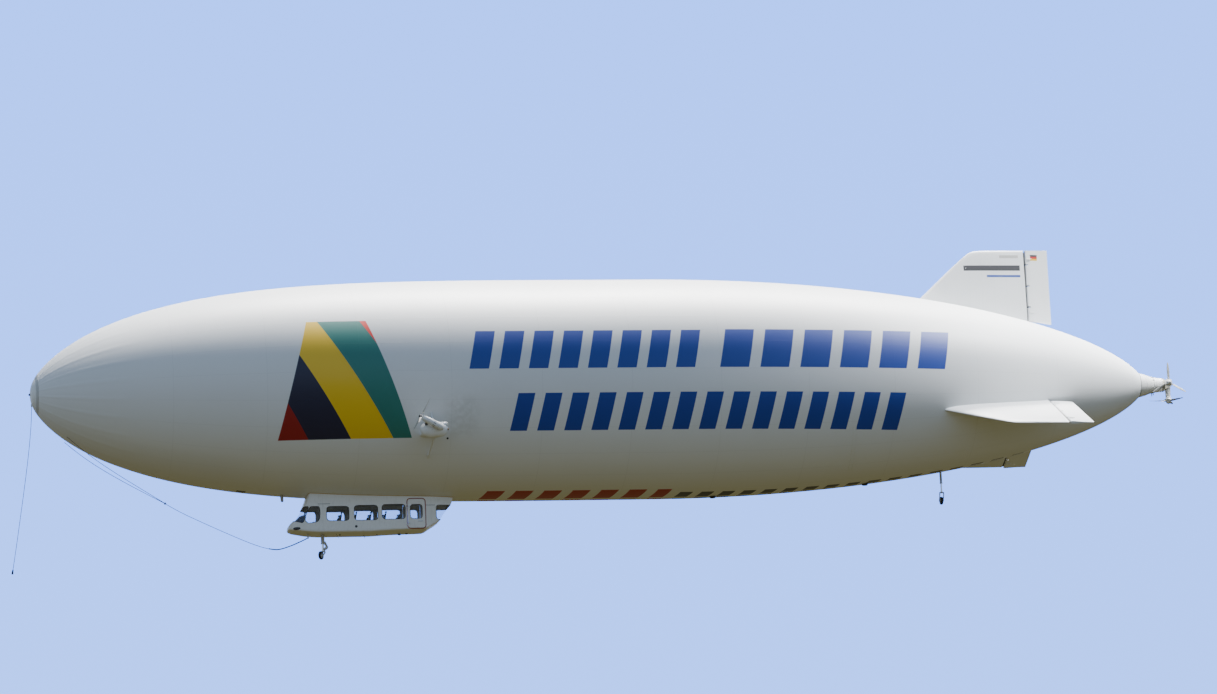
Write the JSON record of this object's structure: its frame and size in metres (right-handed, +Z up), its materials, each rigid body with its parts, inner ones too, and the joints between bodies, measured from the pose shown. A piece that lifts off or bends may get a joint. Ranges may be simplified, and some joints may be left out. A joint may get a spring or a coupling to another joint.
{
  "type": "semi-rigid airship, half-scale model",
  "caption": "Half-scale semi-rigid airship with hollow gondola, tilting side and stern propellers, finned tail with rudders, castoring gear and mooring lines.",
  "frame": {"origin": "centre of buoyancy on the hull axis", "axes": "+X along the hull axis towards the tail, +Y to starboard, +Z up"},
  "size_m": [38.3135, 9.5888, 10.2507],
  "materials": {
    "envelope_fabric": "satin coated fabric",
    "fin_fabric": "taut doped fabric",
    "white_paint": "satin",
    "grey_paint": "satin",
    "dark_metal": "matt",
    "blade": "satin",
    "gear_metal": "satin",
    "tyre": "matt",
    "window_glass": "clear tinted",
    "seat_cloth": "woven",
    "rope": "braided",
    "line_weight": "matt"
  },
  "bodies": {
    "airframe": {"envelope": "envelope_fabric", "top_fin": "fin_fabric", "port_fin": "fin_fabric", "starboard_fin": "fin_fabric", "nose_cap": "white_paint", "stern_fairing": "white_paint", "port_engine_pod": "white_paint", "starboard_engine_pod": "white_paint", "gondola_nose": "white_paint", "gondola_tail": "white_paint", "gondola_port_wall": "white_paint", "gondola_starboard_wall": "white_paint", "stern_gearbox": "grey_paint", "gondola_belly": "grey_paint", "gondola_roof": "grey_paint", "bow_ring": "dark_metal", "mooring_probe": "dark_metal", "front_air_valve": "dark_metal", "rear_air_valve": "dark_metal", "port_engine": "dark_metal", "starboard_engine": "dark_metal", "stern_engine": "dark_metal", "cabin_floor": "dark_metal", "instrument_console": "dark_metal", "front_leg": "gear_metal", "rear_leg": "gear_metal", "windscreen": "window_glass", "port_glazing": "window_glass", "starboard_glazing": "window_glass", "tail_glazing": "window_glass", "passenger_seats": "seat_cloth", "pilot_seats": "seat_cloth", "nose_line": "rope", "bow_line": "rope", "bow_line_knot": "rope", "bow_line_port_leg": "rope", "bow_line_starboard_leg": "rope", "nose_line_weight": "line_weight"},
    "port_thruster": {"port_thruster": "white_paint"},
    "starboard_thruster": {"starboard_thruster": "white_paint"},
    "port_propeller": {"port_propeller": "blade"},
    "starboard_propeller": {"starboard_propeller": "blade"},
    "pusher_leg": {"pusher_leg": "white_paint"},
    "pusher_propeller": {"pusher_propeller": "blade"},
    "lateral_propeller": {"lateral_propeller": "blade"},
    "top_rudder": {"top_rudder": "fin_fabric"},
    "port_rudder": {"port_rudder": "fin_fabric"},
    "starboard_rudder": {"starboard_rudder": "fin_fabric"},
    "port_door": {"port_door": "white_paint", "port_door_glass": "window_glass"},
    "starboard_door": {"starboard_door": "white_paint", "starboard_door_glass": "window_glass"},
    "front_fork": {"front_fork": "gear_metal"},
    "front_wheel": {"front_wheel": "tyre"},
    "rear_fork": {"rear_fork": "gear_metal"},
    "rear_wheel": {"rear_wheel": "tyre"}
  },
  "joints": [
    {"name": "port_thruster_tilt", "type": "hinge", "parent": "airframe", "child": "port_thruster", "pos_m": [-5.2, -4.2, -1.87], "axis": [0, 1, 0], "range_deg": [-58, 62]},
    {"name": "port_propeller_spin", "type": "hinge", "parent": "port_thruster", "child": "port_propeller", "pos_m": [-5.7077, -4.2, -1.60005], "axis": [0.8829, 0, -0.4695], "continuous": true},
    {"name": "starboard_thruster_tilt", "type": "hinge", "parent": "airframe", "child": "starboard_thruster", "pos_m": [-5.2, 4.2, -1.87], "axis": [0, 1, 0], "range_deg": [-58, 62]},
    {"name": "starboard_propeller_spin", "type": "hinge", "parent": "starboard_thruster", "child": "starboard_propeller", "pos_m": [-5.7077, 4.2, -1.60005], "axis": [0.8829, 0, -0.4695], "continuous": true},
    {"name": "pusher_tilt", "type": "hinge", "parent": "airframe", "child": "pusher_leg", "pos_m": [19.77, 0, 0], "axis": [0, -1, 0], "range_deg": [0, 90]},
    {"name": "pusher_propeller_spin", "type": "hinge", "parent": "pusher_leg", "child": "pusher_propeller", "pos_m": [19.77, 0, -0.525], "axis": [0, 0, 1], "continuous": true},
    {"name": "lateral_propeller_spin", "type": "hinge", "parent": "airframe", "child": "lateral_propeller", "pos_m": [19.595, -0.725, -0.04], "axis": [0, 1, 0], "continuous": true},
    {"name": "top_rudder_swing", "type": "hinge", "parent": "airframe", "child": "top_rudder", "pos_m": [15.22, 0, 3.3], "axis": [0, 0, 1], "range_deg": [-30, 30]},
    {"name": "port_rudder_swing", "type": "hinge", "parent": "airframe", "child": "port_rudder", "pos_m": [15.22, -2.97605, -1.42588], "axis": [0, -0.9018, -0.4321], "range_deg": [-30, 30]},
    {"name": "starboard_rudder_swing", "type": "hinge", "parent": "airframe", "child": "starboard_rudder", "pos_m": [15.22, 2.97605, -1.42588], "axis": [0, 0.9018, -0.4321], "range_deg": [-30, 30]},
    {"name": "port_door_swing", "type": "hinge", "parent": "airframe", "child": "port_door", "pos_m": [-5.683, -0.575, -4.05], "axis": [0, 0, -1], "range_deg": [0, 110]},
    {"name": "starboard_door_swing", "type": "hinge", "parent": "airframe", "child": "starboard_door", "pos_m": [-5.683, 0.575, -4.05], "axis": [0, 0, 1], "range_deg": [0, 110]},
    {"name": "front_castor", "type": "hinge", "parent": "airframe", "child": "front_fork", "pos_m": [-8.35, 0, -5], "axis": [0, 0, 1], "continuous": true},
    {"name": "front_wheel_spin", "type": "hinge", "parent": "front_fork", "child": "front_wheel", "pos_m": [-8.43388, -0.12436, -5.26], "axis": [-0.829, 0.5592, 0], "continuous": true},
    {"name": "rear_castor", "type": "hinge", "parent": "airframe", "child": "rear_fork", "pos_m": [11.9, 0, -3.55], "axis": [0, 0, 1], "continuous": true},
    {"name": "rear_wheel_spin", "type": "hinge", "parent": "rear_fork", "child": "rear_wheel", "pos_m": [11.9, 0.09, -3.74], "axis": [1, 0, 0], "continuous": true}
  ]
}
